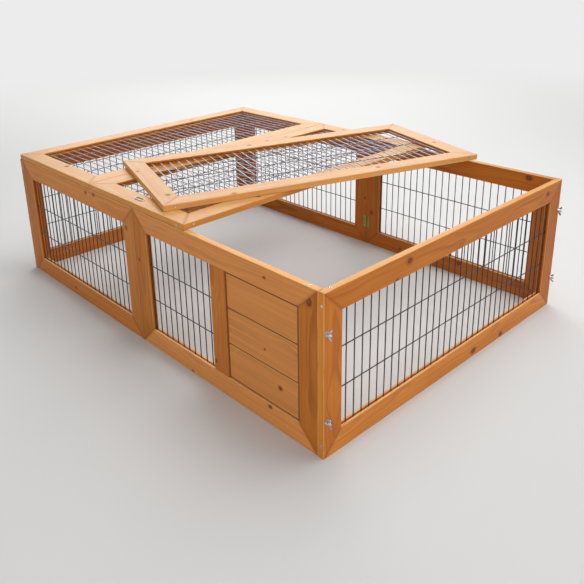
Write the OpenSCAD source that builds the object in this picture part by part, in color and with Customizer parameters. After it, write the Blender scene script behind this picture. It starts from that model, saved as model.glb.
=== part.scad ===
// Outdoor rabbit run: a bottomless pen of mitred timber frames with welded mesh.
// Two long walls, each in two halves hinged at the middle, stand between two end
// panels that bolt on with wing nuts. Three equal mesh lids cover it. The third
// lid is off its place and lies turned on the other two, so one bay is open.
// X runs along the pen, -Y is the front and Z is up from the ground.

/* [Run] */
// Length over both end panels
run_len = 1575; // [1200:5:2200]
// Width over both long walls
run_wid = 1120; // [800:5:1400]
// Height of the walls
wall_h = 450; // [380:5:650]

/* [Frame boards] */
// Width of every frame board
board_w = 63; // [52:1:76]
// Thickness of every frame board
board_t = 19; // [17:0.5:26]
// Rounding of the long edges of the boards
edge_r = 2; // [0.5:0.5:3]
// Depth of the grooves in the inner edges
groove_d = 9; // [6:0.5:14]
// Play of the mesh and the tongues across their grooves
groove_play = 0.2; // [0.1:0.1:0.6]
// Gap between the two halves of a long wall
fold_gap = 0.6; // [0.2:0.1:2]

/* [Mesh] */
// Spacing of the close wires in the ends and the lids
wire_pitch = 30; // [20:0.2:45]
// Spacing of the close wires in the long walls
side_pitch = 28.2; // [20:0.2:45]
// From the front edge of the opening to the first close wire, in the ends and the lids
wire_start = 23; // [3:0.5:28]
// From the fold stile to the first close wire, in the long walls
side_start = 3.5; // [3:0.5:26]
// Diameter of the close wires
wire_d = 3.2; // [1.6:0.1:3.6]
// Diameter of the stiffening wires that cross them
row_d = 3.2; // [2:0.1:4]
// Spacing of the stiffening wires in the walls
wall_row_pitch = 112; // [80:1:150]
// Spacing of the stiffening wires in the lids
lid_row_pitch = 105; // [80:1:150]
// Depth to which crossing wires sink together at a weld
weld_sink = 0.3; // [0.1:0.1:0.6]
// Gap between the ends of the wires and the groove
mesh_gap = 1; // [0.5:0.5:3]

/* [Boarded bay] */
// Width of the mesh window between the fold and the boarded bay
window_w = 306; // [200:1:360]
// Thickness of the infill boards
infill_t = 10; // [8:0.5:13]
// Number of infill boards
infill_count = 3; // [2:1:5]
// Gap between the infill boards and the frame around them
infill_gap = 1.2; // [0.5:0.1:3]
// Size of the chamfers that make the vee joints
vee = 3.5; // [2:0.5:4]
// Length of the tongues between the infill boards
joint_tongue = 5; // [3:0.5:7]
// Thickness of the tongues between the infill boards
joint_tongue_t = 3; // [2:0.1:3.5]

/* [Lids] */
// Gap between one lid and the next
lid_gap = 2; // [1:0.5:5]
// Setback of the lids from the outer faces of the walls
lid_inset = 2.5; // [0.5:0.5:6]
// Middle of the loose lid along the run
lid_c_x = 74.5; // [0:0.5:120]
// Middle of the loose lid across the run
lid_c_y = 73; // [60:0.5:120]
// Turn of the loose lid
lid_c_turn = -19; // [-25:0.5:-12]

/* [Corner screws] */
// Distance of each screw from its corner
screw_in = 35; // [28:0.5:45]
// Shift of the crossing screws to either side of mid thickness
screw_shift = 2.4; // [2.3:0.1:3]
// Shank diameter
screw_d = 3.6; // [3:0.1:4]
// Head diameter
screw_head = 7.5; // [6:0.1:8.4]
// Length
screw_len = 45; // [30:1:50]
// Depth of the heads below the edge
screw_sink = 0.3; // [0.1:0.1:1]

/* [Bolts and wing nuts] */
// Height of the lower bolts, and depth of the upper ones below the top
bolt_in = 105; // [80:1:150]
// Diameter of the machine thread
bolt_d = 6; // [5:0.5:8]
// Diameter of the wood thread
bolt_wood_d = 5; // [4:0.5:7]
// Length of the wood thread
bolt_wood_len = 32; // [20:1:40]
// Clearance of the bolts in the end panels
bolt_play = 0.5; // [0.2:0.1:1.5]
// Running clearance between bolt and nut, on the radius
thread_play = 0.05; // [0.02:0.01:0.1]
// Length of bolt that shows past the nut
bolt_past = 5; // [2:0.5:10]
// Diameter of the washers
washer_d = 15; // [13:0.5:18]
// Thickness of the washers
washer_t = 1.6; // [1:0.1:2.5]
// Diameter of the nut's base
nut_d = 12.5; // [12:0.5:15]
// Height of the nut's hub
nut_h = 8.5; // [7:0.5:11]
// Distance over both wings
wing_span = 29; // [28:0.5:40]
// Height of the wings above the washer
wing_h = 14; // [13:0.5:20]
// Thickness of the wings
wing_t = 2.4; // [1.8:0.1:3.5]

/* [Hinges] */
// Height of the lower hinges, and depth of the upper ones below the top
hinge_in = 97; // [70:1:140]
// Length of a hinge
hinge_len = 50; // [40:1:76]
// Reach of one leaf from the pin
leaf_w = 15.5; // [14:0.5:25]
// Thickness of the leaves
leaf_t = 1.5; // [1:0.1:2.5]
// Diameter of the knuckles
knuckle_d = 6; // [5:0.1:8]
// Gap between knuckles
knuckle_gap = 0.4; // [0.2:0.1:1]
// Diameter of the pin
pin_d = 3; // [2:0.1:3.5]
// Clearance of the pin in the knuckles, on the radius
pin_play = 0.05; // [0.02:0.01:0.1]
// Shank diameter of the hinge screws
leaf_screw_d = 3; // [2.5:0.1:3.5]
// Head diameter of the hinge screws
leaf_screw_head = 5.6; // [5:0.1:6.2]
// Length of the hinge screws
leaf_screw_len = 13; // [8:0.5:15]
// Distance between the two screws of a leaf
leaf_screw_span = 34; // [26:1:40]

/* [Finger pull] */
// Length of the oval pull on the middle lid
pull_len = 42; // [30:1:60]
// Width of the oval pull
pull_wid = 17; // [14:0.5:24]
// Height of its rim
pull_h = 2.6; // [2:0.1:4]
// Width of its rim
pull_rim = 3; // [2:0.1:4]
// Thickness of its floor
pull_floor = 1; // [0.6:0.1:1.5]
// Place of its middle along the run
pull_x = -6; // [-40:1:20]

/* [Hidden] */
$fn = 48;
past = 1;

// Panels
half_len = (run_len - 2 * board_t - fold_gap) / 2;
lid_len = run_wid - 2 * lid_inset;
lid_w = (run_len - 2 * lid_inset - 2 * lid_gap) / 3;

// The origin is the middle of everything on the ground, loose lid included
lid_c_reach = (abs(sin(lid_c_turn)) * lid_w + cos(lid_c_turn) * lid_len) / 2;
high_y = max(run_wid / 2, lid_c_y + lid_c_reach);
low_y = min(-run_wid / 2, lid_c_y - lid_c_reach);
mid_y = (high_y + low_y) / 2;
front_y = -run_wid / 2 - mid_y;
back_y = run_wid / 2 - mid_y;

// Mesh and the grooves that take it
mesh_t = wire_d + row_d - weld_sink;
groove_w = mesh_t + groove_play;
groove_z = (board_t - groove_w) / 2;
tongue_t = groove_w - groove_play;
tongue_len = groove_d - mesh_gap;

// Openings in the frames
wall_open = wall_h - 2 * board_w;
post_x = board_w + window_w;
bay_x = post_x + board_w;
bay_len = half_len - board_w - bay_x;
infill_h = wall_open / infill_count;

bolt_heights = [bolt_in, wall_h - bolt_in];
hinge_heights = [hinge_in, wall_h - hinge_in];
bolt_out = board_t + washer_t + nut_h + bolt_past;
knuckle_count = 5;
knuckle_len = hinge_len / knuckle_count;
leaf_screw_x = (leaf_w + knuckle_d / 2) / 2;

wood = [0.74, 0.45, 0.20];
wood_dark = [0.66, 0.38, 0.16];
wire = [0.16, 0.15, 0.15];
zinc = [0.80, 0.82, 0.86];
brass = [0.80, 0.64, 0.30];

// ---- Boards ----

// Section of a board: its width along x, its thickness along y
module board_section(inner_groove, outer_groove) {
    difference() {
        union() {
            translate([edge_r, 0]) square([board_w - 2 * edge_r, board_t]);
            translate([0, edge_r]) square([board_w, board_t - 2 * edge_r]);
            for (x = [edge_r, board_w - edge_r], y = [edge_r, board_t - edge_r])
                translate([x, y]) circle(edge_r);
        }
        if (inner_groove) translate([board_w - groove_d, groove_z]) square([groove_d + past, groove_w]);
        if (outer_groove) translate([-past, groove_z]) square([groove_d + past, groove_w]);
    }
}

// Frame board along x with its outer edge on y = 0 and both ends mitred
module mitred_board(len) {
    intersection() {
        rotate([90, 0, 90]) linear_extrude(len) board_section(true, false);
        translate([0, 0, -past]) linear_extrude(board_t + 2 * past)
            polygon([
                [-past, -past], [len + past, -past],
                [len - board_w - past, board_w + past], [board_w + past, board_w + past]
            ]);
    }
}

// The four sides of a panel of w by h, with its inner face on z = 0
module bottom_rail(w) mitred_board(w);
module top_rail(w, h) translate([w, h, 0]) rotate([0, 0, 180]) mitred_board(w);
module left_stile(h) translate([0, h, 0]) rotate([0, 0, -90]) mitred_board(h);
module right_stile(w, h) translate([w, 0, 0]) rotate([0, 0, 90]) mitred_board(h);

// ---- Fasteners ----

// Countersunk screw with its head on z = 0 and its point down
module wood_screw(d, len, head) {
    rotate_extrude()
        polygon([[0, 0], [head / 2, 0], [d / 2, -(head - d) / 2], [d / 2, d - len], [0, -len]]);
}

// The screw's own space, opened up to the surface above a sunken head
module screw_space(d, len, head, sink) {
    wood_screw(d, len, head);
    cylinder(h = sink + past, d = head);
}

// Screws driven up and down through the rails' edges into the stiles
module at_rail_edges(w, h) {
    for (x = [screw_in, w - screw_in], top = [0, 1])
        translate([x, top ? h - screw_sink : screw_sink, board_t / 2 - screw_shift])
            rotate([top ? -90 : 90, 0, 0]) children();
}

// Screws driven sideways through the stiles' edges into the rails
module at_stile_edges(w, h) {
    for (y = [screw_in, h - screw_in], right = [0, 1])
        translate([right ? w - screw_sink : screw_sink, y, board_t / 2 + screw_shift])
            rotate([0, right ? 90 : -90, 0]) children();
}

module corner_screws(w, h) {
    at_rail_edges(w, h) wood_screw(screw_d, screw_len, screw_head);
    at_stile_edges(w, h) wood_screw(screw_d, screw_len, screw_head);
}

module corner_screw_spaces(w, h) {
    at_rail_edges(w, h) screw_space(screw_d, screw_len, screw_head, screw_sink);
    at_stile_edges(w, h) screw_space(screw_d, screw_len, screw_head, screw_sink);
}

// Bolt that screws into the wall below z = 0 and stands out of it above
module hanger_bolt() {
    rotate_extrude()
        polygon([
            [0, -bolt_wood_len], [bolt_wood_d / 2, bolt_wood_d - bolt_wood_len], [bolt_wood_d / 2, 0],
            [bolt_d / 2, 0], [bolt_d / 2, bolt_out - 0.5], [bolt_d / 2 - 0.5, bolt_out], [0, bolt_out]
        ]);
}

module bolt_wood_space() {
    rotate_extrude()
        polygon([
            [0, -bolt_wood_len], [bolt_wood_d / 2, bolt_wood_d - bolt_wood_len], [bolt_wood_d / 2, past],
            [0, past]
        ]);
}

// One wing in the x-z plane: a blade with round ends and straight, tangent sides
module wing_outline() {
    root_r = 2.6;
    tip_r = 3.2;
    root = [nut_d / 2 - root_r, root_r + 0.6];
    tip = [wing_span / 2 - tip_r, wing_h - tip_r];
    reach = norm(tip - root);
    lean = atan2(tip[1] - root[1], tip[0] - root[0]);
    side = acos((root_r - tip_r) / reach);
    translate(root) circle(root_r);
    translate(tip) circle(tip_r);
    polygon([
        for (s = [1, -1]) root + root_r * [cos(lean + s * side), sin(lean + s * side)],
        for (s = [-1, 1]) tip + tip_r * [cos(lean + s * side), sin(lean + s * side)]
    ]);
}

// Wing nut standing on z = 0
module wing_nut() {
    foot_r = nut_d / 2;
    top_r = foot_r - 1.5;
    bore_d = bolt_d + 2 * thread_play;
    difference() {
        union() {
            rotate_extrude() polygon([[0, 0], [foot_r, 0], [foot_r, 1.4], [top_r, nut_h], [0, nut_h]]);
            for (turn = [0, 180])
                rotate([90, 0, turn]) translate([0, 0, -wing_t / 2]) linear_extrude(wing_t) wing_outline();
        }
        translate([0, 0, -past]) cylinder(h = wing_h + 2 * past, d = bore_d);
    }
}

module washer() {
    difference() {
        cylinder(h = washer_t, d = washer_d);
        translate([0, 0, -past]) cylinder(h = washer_t + 2 * past, d = bolt_d + bolt_play);
    }
}

// ---- Hinges, seen from outside the wall with the fold at x = 0 and the inner face at z = 0 ----

module at_leaf_screws(side) {
    for (y = [-leaf_screw_span / 2, leaf_screw_span / 2])
        translate([side * leaf_screw_x, y, -leaf_t]) rotate([180, 0, 0]) children();
}

module leaf_screw() wood_screw(leaf_screw_d, leaf_screw_len, leaf_screw_head);

// One leaf on the given side, with knuckles in the given rows
module hinge_leaf(side, rows) {
    others = [for (k = [0 : knuckle_count - 1]) if (len(search(k, rows)) == 0) k];
    cut_w = knuckle_d + 2 * knuckle_gap;
    body = hinge_len - knuckle_gap;
    difference() {
        union() {
            translate([side > 0 ? 0 : -leaf_w, -body / 2, -leaf_t]) cube([leaf_w, body, leaf_t]);
            for (k = rows)
                translate([0, k * knuckle_len - body / 2, -knuckle_d / 2])
                    rotate([-90, 0, 0]) cylinder(h = knuckle_len - knuckle_gap, d = knuckle_d);
        }
        for (k = others) {
            low = k == 0 ? -past : k * knuckle_len;
            high = k == knuckle_count - 1 ? hinge_len + past : (k + 1) * knuckle_len;
            translate([-cut_w / 2, low - hinge_len / 2, -knuckle_d - past])
                cube([cut_w, high - low, knuckle_d + 2 * past]);
        }
        translate([0, -hinge_len / 2 - past, -knuckle_d / 2])
            rotate([-90, 0, 0]) cylinder(h = hinge_len + 2 * past, d = pin_d + 2 * pin_play);
        at_leaf_screws(side) leaf_screw();
    }
}

// Pin with a flat head at each end
module hinge_pin() {
    head_h = 1;
    body = hinge_len - knuckle_gap;
    translate([0, -body / 2 - head_h, -knuckle_d / 2]) rotate([-90, 0, 0]) {
        cylinder(h = body + 2 * head_h, d = pin_d);
        cylinder(h = head_h, d = knuckle_d - 1);
        translate([0, 0, body + head_h]) cylinder(h = head_h, d = knuckle_d - 1);
    }
}

// ---- Mesh ----

// Welded net over an opening: close wires along y, stiffening wires along x on their upper side.
// It stands on the groove's floor below y = 0 and stops short of the other three. The close wires
// start at the left, or at the right when from_right is true.
module net(span, run, pitch, start, row_pitch, from_right = false) {
    wires = floor((span - start - wire_d) / pitch) + 1;
    rows = floor(run / row_pitch);
    for (i = [0 : wires - 1]) {
        at = start + i * pitch;
        translate([from_right ? span - at : at, -groove_d, (wire_d - mesh_t) / 2])
            rotate([-90, 0, 0]) cylinder(h = run + 2 * groove_d - mesh_gap, d = wire_d);
    }
    for (j = [0 : rows - 1])
        translate([-tongue_len, run / 2 + (j - (rows - 1) / 2) * row_pitch, (mesh_t - row_d) / 2])
            rotate([0, 90, 0]) cylinder(h = span + 2 * tongue_len, d = row_d);
}

// The ends have their close wires outside and the long walls have them inside
module end_net() {
    span = run_wid - 2 * board_w;
    color(wire) translate([board_w + span, board_w, board_t / 2])
        rotate([0, 180, 0]) net(span, wall_open, wire_pitch, wire_start, wall_row_pitch, true);
}

module wall_net(span, fold_right) {
    color(wire) translate([board_w, board_w, board_t / 2])
        net(span, wall_open, side_pitch, side_start, wall_row_pitch, fold_right);
}

// The lids' close wires run the short way, on top of the long ones
module lid_net() {
    span = lid_len - 2 * board_w;
    run = lid_w - 2 * board_w;
    color(wire) translate([board_w, board_w, board_t / 2 - groove_play / 2])
        rotate(180, [1, 1, 0]) net(span, run, wire_pitch, wire_start, lid_row_pitch);
}

// ---- Placing panels ----

module on_front(x) translate([x, front_y + board_t, 0]) rotate([90, 0, 0]) children();
module on_back(x) translate([x, back_y - board_t, 0]) rotate([90, 0, 180]) children();
module on_near_end() translate([run_len / 2 - board_t, front_y, 0]) rotate([90, 0, 90]) children();
module on_far_end() translate([board_t - run_len / 2, back_y, 0]) rotate([90, 0, 270]) children();

module at_front_left() on_front(-half_len - fold_gap / 2) children();
module at_front_right() on_front(fold_gap / 2) children();
module at_back_right() on_back(half_len + fold_gap / 2) children();
module at_back_left() on_back(-fold_gap / 2) children();

module at_lid_a() translate([lid_inset - run_len / 2, front_y + lid_inset, wall_h]) children();
module at_lid_b() translate([-lid_w / 2, front_y + lid_inset, wall_h]) children();
module at_lid_c() {
    translate([lid_c_x, lid_c_y - mid_y, wall_h + board_t])
        rotate([0, 0, lid_c_turn]) translate([-lid_w / 2, -lid_len / 2, 0]) children();
}

// The four bolts of an end panel, standing on its inner face
module at_end_bolts() {
    for (x = [board_t / 2, run_wid - board_t / 2], y = bolt_heights) translate([x, y, 0]) children();
}

module at_hinges() {
    for (y = hinge_heights) {
        on_front(0) translate([0, y, 0]) children();
        on_back(0) translate([0, y, 0]) children();
    }
}

// ---- Boards of each kind of panel, with every hole in them ----

module end_spaces() {
    corner_screw_spaces(run_wid, wall_h);
    at_end_bolts() translate([0, 0, -past]) cylinder(h = board_t + 2 * past, d = bolt_d + bolt_play);
}

// The fold is at the right of a panel when fold_right is true, seen from outside
module wall_spaces(fold_right) {
    corner_screw_spaces(half_len, wall_h);
    for (y = bolt_heights)
        translate([fold_right ? 0 : half_len, y, board_t / 2])
            rotate([0, fold_right ? -90 : 90, 0]) bolt_wood_space();
    for (y = hinge_heights)
        translate([fold_right ? half_len + fold_gap / 2 : -fold_gap / 2, y, 0])
            at_leaf_screws(fold_right ? -1 : 1) leaf_screw();
}

module end_board(name) {
    color(wood) difference() {
        if (name == "top") top_rail(run_wid, wall_h);
        else if (name == "bottom") bottom_rail(run_wid);
        else if (name == "left") left_stile(wall_h);
        else right_stile(run_wid, wall_h);
        end_spaces();
    }
}

module wall_board(name, fold_right) {
    color(wood) difference() {
        if (name == "top") top_rail(half_len, wall_h);
        else if (name == "bottom") bottom_rail(half_len);
        else if ((name == "fold") == fold_right) right_stile(half_len, wall_h);
        else left_stile(wall_h);
        wall_spaces(fold_right);
    }
}

module lid_long_rails() {
    color(wood) difference() {
        union() {
            left_stile(lid_len);
            right_stile(lid_w, lid_len);
        }
        corner_screw_spaces(lid_w, lid_len);
    }
}

module lid_short_rails() {
    color(wood) difference() {
        union() {
            bottom_rail(lid_w);
            top_rail(lid_w, lid_len);
        }
        corner_screw_spaces(lid_w, lid_len);
    }
}

module lid_screws() color(zinc) corner_screws(lid_w, lid_len);

// ---- End panels ----

module end_near_top_rail() on_near_end() end_board("top");
module end_near_bottom_rail() on_near_end() end_board("bottom");
module end_near_front_stile() on_near_end() end_board("left");
module end_near_back_stile() on_near_end() end_board("right");
module end_near_mesh() on_near_end() end_net();

module end_far_top_rail() on_far_end() end_board("top");
module end_far_bottom_rail() on_far_end() end_board("bottom");
module end_far_back_stile() on_far_end() end_board("left");
module end_far_front_stile() on_far_end() end_board("right");
module end_far_mesh() on_far_end() end_net();

// ---- Long walls ----

module front_left_top_rail() at_front_left() wall_board("top", true);
module front_left_bottom_rail() at_front_left() wall_board("bottom", true);
module front_left_end_stile() at_front_left() wall_board("end", true);
module front_left_fold_stile() at_front_left() wall_board("fold", true);
module front_left_mesh() at_front_left() wall_net(half_len - 2 * board_w, true);

module front_right_top_rail() at_front_right() wall_board("top", false);
module front_right_bottom_rail() at_front_right() wall_board("bottom", false);
module front_right_end_stile() at_front_right() wall_board("end", false);
module front_right_fold_stile() at_front_right() wall_board("fold", false);
module front_right_mesh() at_front_right() wall_net(window_w, false);

// Upright between the mesh and the boarded bay, tenoned into the rails' grooves
module front_right_post() {
    tenon_w = board_w - 2 * groove_d;
    color(wood_dark) at_front_right() {
        translate([post_x, wall_h - board_w, 0]) rotate([90, 0, 0]) linear_extrude(wall_open)
            board_section(true, true);
        translate([post_x + groove_d, board_w - groove_d, (board_t - tongue_t) / 2])
            cube([tenon_w, wall_open + 2 * groove_d - mesh_gap, tongue_t]);
    }
}

// Section of infill board k, its height along x and its thickness along y
module infill_section(k) {
    low = k == 0 ? infill_gap : k * infill_h;
    high = k == infill_count - 1 ? wall_open - infill_gap : (k + 1) * infill_h;
    back = (board_t - infill_t) / 2;
    face = back + infill_t;
    edge_z = (board_t - tongue_t) / 2;
    joint_z = (board_t - joint_tongue_t) / 2;
    slot_t = joint_tongue_t + groove_play;
    difference() {
        union() {
            polygon([
                [low, back], [high, back], [high, face - vee], [high - vee, face], [low + vee, face],
                [low, face - vee]
            ]);
            if (k == 0)
                translate([-groove_d, edge_z]) square([groove_d + infill_gap + past, tongue_t]);
            if (k == infill_count - 1)
                translate([high - past, edge_z]) square([past + infill_gap + tongue_len, tongue_t]);
            else translate([high - past, joint_z]) square([past + joint_tongue, joint_tongue_t]);
        }
        if (k > 0)
            translate([low - past, (board_t - slot_t) / 2])
                square([past + joint_tongue + mesh_gap / 2, slot_t]);
    }
}

// Tongue-and-groove board: full section within the bay, thinned to a tongue at both ends
module infill_board(k) {
    intersection() {
        translate([-tongue_len, 0, 0]) rotate([90, 0, 90])
            linear_extrude(bay_len + 2 * tongue_len) infill_section(k);
        union() {
            translate([infill_gap, -2 * groove_d, -past])
                cube([bay_len - 2 * infill_gap, wall_open + 4 * groove_d, board_t + 2 * past]);
            translate([-2 * groove_d, -2 * groove_d, (board_t - tongue_t) / 2])
                cube([bay_len + 4 * groove_d, wall_open + 4 * groove_d, tongue_t]);
        }
    }
}

// Every second infill board from the first one given, so that no two in a node touch
module infill_boards(first) {
    color(wood_dark) at_front_right() translate([bay_x, board_w, 0])
        for (k = [first : 2 : infill_count - 1]) infill_board(k);
}

module front_right_boards_odd() infill_boards(0);
module front_right_boards_even() infill_boards(1);

module back_left_top_rail() at_back_left() wall_board("top", false);
module back_left_bottom_rail() at_back_left() wall_board("bottom", false);
module back_left_end_stile() at_back_left() wall_board("end", false);
module back_left_fold_stile() at_back_left() wall_board("fold", false);
module back_left_mesh() at_back_left() wall_net(half_len - 2 * board_w, false);

module back_right_top_rail() at_back_right() wall_board("top", true);
module back_right_bottom_rail() at_back_right() wall_board("bottom", true);
module back_right_end_stile() at_back_right() wall_board("end", true);
module back_right_fold_stile() at_back_right() wall_board("fold", true);
module back_right_mesh() at_back_right() wall_net(half_len - 2 * board_w, true);

// ---- Lids ----

module lid_a_long_rails() at_lid_a() lid_long_rails();
module lid_a_short_rails() at_lid_a() lid_short_rails();
module lid_a_mesh() at_lid_a() lid_net();
module lid_b_long_rails() at_lid_b() lid_long_rails();
module lid_b_short_rails() at_lid_b() lid_short_rails();
module lid_b_mesh() at_lid_b() lid_net();
module lid_c_long_rails() at_lid_c() lid_long_rails();
module lid_c_short_rails() at_lid_c() lid_short_rails();
module lid_c_mesh() at_lid_c() lid_net();

// ---- Hardware of the walls ----

module hinge_leaves() {
    color(brass) at_hinges() {
        hinge_leaf(-1, [0, 2, 4]);
        hinge_leaf(1, [1, 3]);
    }
}

module hinge_pins() color(brass) at_hinges() hinge_pin();
module hinge_screws() {
    color(brass) at_hinges() {
        at_leaf_screws(-1) leaf_screw();
        at_leaf_screws(1) leaf_screw();
    }
}

module hanger_bolts() {
    color(zinc) {
        on_near_end() at_end_bolts() hanger_bolt();
        on_far_end() at_end_bolts() hanger_bolt();
    }
}

module washers() {
    color(zinc) {
        on_near_end() at_end_bolts() translate([0, 0, board_t]) washer();
        on_far_end() at_end_bolts() translate([0, 0, board_t]) washer();
    }
}

// Wing nut on an end panel: left or right seen from outside, low or high, turned from upright
module end_nut(right, high, turn) {
    in = board_t / 2;
    color(zinc) translate([right ? run_wid - in : in, bolt_heights[high], board_t + washer_t])
        rotate([0, 0, 90 + turn]) wing_nut();
}

module wing_nut_near_front_low() on_near_end() end_nut(0, 0, 5);
module wing_nut_near_front_high() on_near_end() end_nut(0, 1, -3);
module wing_nut_near_back_low() on_near_end() end_nut(1, 0, 4);
module wing_nut_near_back_high() on_near_end() end_nut(1, 1, -10);
module wing_nut_far_back_low() on_far_end() end_nut(0, 0, -7);
module wing_nut_far_back_high() on_far_end() end_nut(0, 1, 12);
module wing_nut_far_front_low() on_far_end() end_nut(1, 0, -4);
module wing_nut_far_front_high() on_far_end() end_nut(1, 1, 9);

module wall_screws() {
    color(zinc) {
        on_near_end() corner_screws(run_wid, wall_h);
        on_far_end() corner_screws(run_wid, wall_h);
        at_front_left() corner_screws(half_len, wall_h);
        at_front_right() corner_screws(half_len, wall_h);
        at_back_left() corner_screws(half_len, wall_h);
        at_back_right() corner_screws(half_len, wall_h);
    }
}

module lid_a_screws() at_lid_a() lid_screws();
module lid_b_screws() at_lid_b() lid_screws();
module lid_c_screws() at_lid_c() lid_screws();

// ---- Finger pull ----

module oval(length, width) {
    square([length - width, width], center = true);
    for (x = [-1, 1]) translate([x * (length - width) / 2, 0]) circle(d = width);
}

// Dished oval pull, halfway across the front rail of the middle lid
module lid_b_pull() {
    color(brass) translate([pull_x, front_y + lid_inset + board_w / 2, wall_h + board_t])
        difference() {
            linear_extrude(pull_h) oval(pull_len, pull_wid);
            translate([0, 0, pull_floor]) linear_extrude(pull_h)
                oval(pull_len - 2 * pull_rim, pull_wid - 2 * pull_rim);
        }
}

end_near_top_rail();
end_near_bottom_rail();
end_near_front_stile();
end_near_back_stile();
end_near_mesh();
end_far_top_rail();
end_far_bottom_rail();
end_far_front_stile();
end_far_back_stile();
end_far_mesh();
front_left_top_rail();
front_left_bottom_rail();
front_left_end_stile();
front_left_fold_stile();
front_left_mesh();
front_right_top_rail();
front_right_bottom_rail();
front_right_end_stile();
front_right_fold_stile();
front_right_mesh();
front_right_post();
front_right_boards_odd();
front_right_boards_even();
back_left_top_rail();
back_left_bottom_rail();
back_left_end_stile();
back_left_fold_stile();
back_left_mesh();
back_right_top_rail();
back_right_bottom_rail();
back_right_end_stile();
back_right_fold_stile();
back_right_mesh();
lid_a_long_rails();
lid_a_short_rails();
lid_a_mesh();
lid_b_long_rails();
lid_b_short_rails();
lid_b_mesh();
lid_c_long_rails();
lid_c_short_rails();
lid_c_mesh();
hinge_leaves();
hinge_pins();
hinge_screws();
hanger_bolts();
washers();
wing_nut_near_front_low();
wing_nut_near_front_high();
wing_nut_near_back_low();
wing_nut_near_back_high();
wing_nut_far_front_low();
wing_nut_far_front_high();
wing_nut_far_back_low();
wing_nut_far_back_high();
wall_screws();
lid_a_screws();
lid_b_screws();
lid_c_screws();
lid_b_pull();
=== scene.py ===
import math

import bmesh
import bpy
import numpy as np
from mathutils import Matrix, Vector


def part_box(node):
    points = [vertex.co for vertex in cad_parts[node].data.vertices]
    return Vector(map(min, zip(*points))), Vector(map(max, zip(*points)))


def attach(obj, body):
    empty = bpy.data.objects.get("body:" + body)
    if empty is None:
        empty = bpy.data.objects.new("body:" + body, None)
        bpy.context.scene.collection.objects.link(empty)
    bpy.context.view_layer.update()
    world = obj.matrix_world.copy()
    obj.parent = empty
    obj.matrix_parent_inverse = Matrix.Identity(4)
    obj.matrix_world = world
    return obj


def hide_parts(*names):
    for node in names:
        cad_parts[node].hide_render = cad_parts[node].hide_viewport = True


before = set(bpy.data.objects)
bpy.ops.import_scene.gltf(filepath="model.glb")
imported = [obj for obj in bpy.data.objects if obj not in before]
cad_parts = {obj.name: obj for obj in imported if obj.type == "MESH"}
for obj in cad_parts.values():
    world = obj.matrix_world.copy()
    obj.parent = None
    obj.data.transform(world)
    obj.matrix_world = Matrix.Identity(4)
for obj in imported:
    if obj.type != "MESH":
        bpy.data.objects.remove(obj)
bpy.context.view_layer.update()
mm = 0.001

xAxis = Vector((1, 0, 0))
yAxis = Vector((0, 1, 0))
zAxis = Vector((0, 0, 1))


def newObject(name, data):
    made = bpy.data.objects.new(name, data)
    bpy.context.scene.collection.objects.link(made)
    return made


def newMaterial(name):
    made = bpy.data.materials.new(name)
    made.use_nodes = True
    return made, made.node_tree


def paint(piece, material):
    piece.data.materials.clear()
    piece.data.materials.append(material)


# node helpers

def newNode(tree, kind, **settings):
    made = tree.nodes.new(kind)
    for name, value in settings.items():
        setattr(made, name, value)
    return made


def treeOf(*values):
    # the node tree that the first socket among the values is in
    return next(value.id_data for value in values if isinstance(value, bpy.types.NodeSocket))


def feed(socket, value):
    # a socket is linked, anything else is typed in
    if isinstance(value, bpy.types.NodeSocket):
        socket.id_data.links.new(value, socket)
    else:
        socket.default_value = value


def feedAll(node, values):
    for name, value in values.items():
        feed(node.inputs[name], value)


def calc(operation, *values):
    made = newNode(treeOf(*values), "ShaderNodeMath", operation=operation)
    for socket, value in zip(made.inputs, values):
        feed(socket, value)
    return made.outputs[0]


def times(first, second):
    return calc("MULTIPLY", first, second)


def plus(first, second):
    return calc("ADD", first, second)


def minus(first, second):
    return calc("SUBTRACT", first, second)


def timesPlus(first, second, third):
    # first times second, plus third
    return calc("MULTIPLY_ADD", first, second, third)


def distance(x, y):
    # the square root of x squared plus y squared
    return calc("SQRT", plus(times(x, x), times(y, y)))


def joined(x, y, z):
    made = newNode(treeOf(x, y, z), "ShaderNodeCombineXYZ")
    for socket, value in zip(made.inputs, (x, y, z)):
        feed(socket, value)
    return made.outputs[0]


def split(vector):
    made = newNode(treeOf(vector), "ShaderNodeSeparateXYZ")
    feed(made.inputs[0], vector)
    return made.outputs


def noise(vector, scale=1.0, detail=2.0, roughness=0.5):
    made = newNode(treeOf(vector), "ShaderNodeTexNoise")
    feedAll(made, {"Vector": vector, "Scale": scale, "Detail": detail, "Roughness": roughness})
    return made.outputs["Fac"]


def eased(value, low, high):
    # 0 at low, 1 at high, smooth between, whichever of the two is larger
    made = newNode(treeOf(value), "ShaderNodeMapRange", interpolation_type="SMOOTHSTEP")
    atMin, atMax = (0.0, 1.0) if low < high else (1.0, 0.0)
    feedAll(made, {"Value": value, "From Min": min(low, high), "From Max": max(low, high),
                   "To Min": atMin, "To Max": atMax})
    return made.outputs["Result"]


def blended(factor, first, second, mode="MIX"):
    tree = treeOf(factor, first, second)
    made = newNode(tree, "ShaderNodeMix", data_type="RGBA", blend_type=mode, clamp_factor=True)
    feed(made.inputs["Factor"], factor)
    for name, value in (("A", first), ("B", second)):
        socket = [s for s in made.inputs if s.name == name and s.type == "RGBA"][0]
        feed(socket, value if isinstance(value, bpy.types.NodeSocket) else (*value, 1.0))
    return [s for s in made.outputs if s.type == "RGBA"][0]


def bumped(shader, height, look):
    made = newNode(treeOf(height), "ShaderNodeBump")
    feedAll(made, {"Strength": look["bump"], "Distance": look["bumpDepth"], "Height": height})
    feed(shader.inputs["Normal"], made.outputs["Normal"])


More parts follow.
